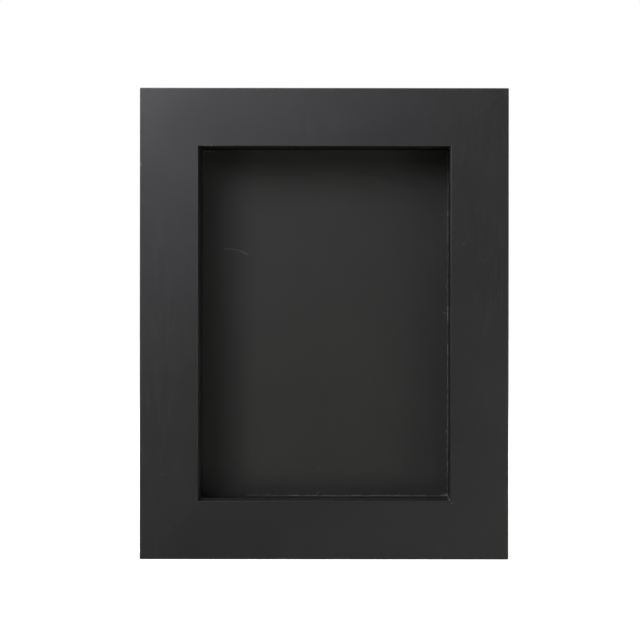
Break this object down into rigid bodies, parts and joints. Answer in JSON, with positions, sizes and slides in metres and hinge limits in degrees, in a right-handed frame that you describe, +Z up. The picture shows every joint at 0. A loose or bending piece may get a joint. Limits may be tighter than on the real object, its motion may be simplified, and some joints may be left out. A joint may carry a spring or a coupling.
{
  "type": "shadow box",
  "caption": "Deep rectangular display box with a wide flat black mitred frame, glass front, spacer-lined cavity and a back held by turn buttons.",
  "frame": {"origin": "centre of the underside, at mid depth of the rails", "axes": "+Z up with the box upright, front facing -Y, +X to the right seen from the front"},
  "size_m": [0.18, 0.0414, 0.23],
  "materials": {
    "lacquer": "satin black lacquer on fibreboard",
    "spacer_black": "matt black paint",
    "black_card": "matt black card with a fine tooth",
    "hardboard": "bare brown hardboard, smooth face out",
    "clear_glass": "clear float glass",
    "zinc_plate": "bright zinc plate",
    "spring_steel": "dull bare steel",
    "black_rubber": "soft matt black rubber"
  },
  "bodies": {
    "frame": {"rail_top": "lacquer", "rail_bottom": "lacquer", "rail_left": "lacquer", "rail_right": "lacquer", "v_nail_bottom_left_outer": "spring_steel", "v_nail_bottom_left_inner": "spring_steel", "v_nail_bottom_right_outer": "spring_steel", "v_nail_bottom_right_inner": "spring_steel", "v_nail_top_left_outer": "spring_steel", "v_nail_top_left_inner": "spring_steel", "v_nail_top_right_outer": "spring_steel", "v_nail_top_right_inner": "spring_steel", "glass_pane": "clear_glass", "spacer_top": "spacer_black", "spacer_bottom": "spacer_black", "spacer_left": "spacer_black", "spacer_right": "spacer_black", "button_screw_left_upper": "zinc_plate", "button_screw_left_lower": "zinc_plate", "button_screw_right_upper": "zinc_plate", "button_screw_right_lower": "zinc_plate", "sawtooth_hanger_top": "zinc_plate", "sawtooth_hanger_left": "zinc_plate", "hanger_nail_top_left": "spring_steel", "hanger_nail_top_right": "spring_steel", "hanger_nail_left_upper": "spring_steel", "hanger_nail_left_lower": "spring_steel", "bumper_bottom_left": "black_rubber", "bumper_bottom_right": "black_rubber", "bumper_top_left": "black_rubber", "bumper_top_right": "black_rubber"},
    "back": {"display_board": "black_card", "back_panel": "hardboard"},
    "button_left_upper": {"turn_button_left_upper": "zinc_plate"},
    "button_left_lower": {"turn_button_left_lower": "zinc_plate"},
    "button_right_upper": {"turn_button_right_upper": "zinc_plate"},
    "button_right_lower": {"turn_button_right_lower": "zinc_plate"}
  },
  "joints": [
    {"name": "button_left_upper_turn", "type": "hinge", "parent": "frame", "child": "button_left_upper", "pos_m": [-0.07195, 0.0198, 0.165], "axis": [0, 1, 0], "continuous": true},
    {"name": "button_left_lower_turn", "type": "hinge", "parent": "frame", "child": "button_left_lower", "pos_m": [-0.07195, 0.0198, 0.065], "axis": [0, -1, 0], "continuous": true},
    {"name": "button_right_upper_turn", "type": "hinge", "parent": "frame", "child": "button_right_upper", "pos_m": [0.07195, 0.0198, 0.165], "axis": [0, -1, 0], "continuous": true},
    {"name": "button_right_lower_turn", "type": "hinge", "parent": "frame", "child": "button_right_lower", "pos_m": [0.07195, 0.0198, 0.065], "axis": [0, 1, 0], "continuous": true},
    {"name": "back_lift_out", "type": "slide", "parent": "frame", "child": "back", "axis": [0, 1, 0], "range_m": [0, 0.06]}
  ]
}
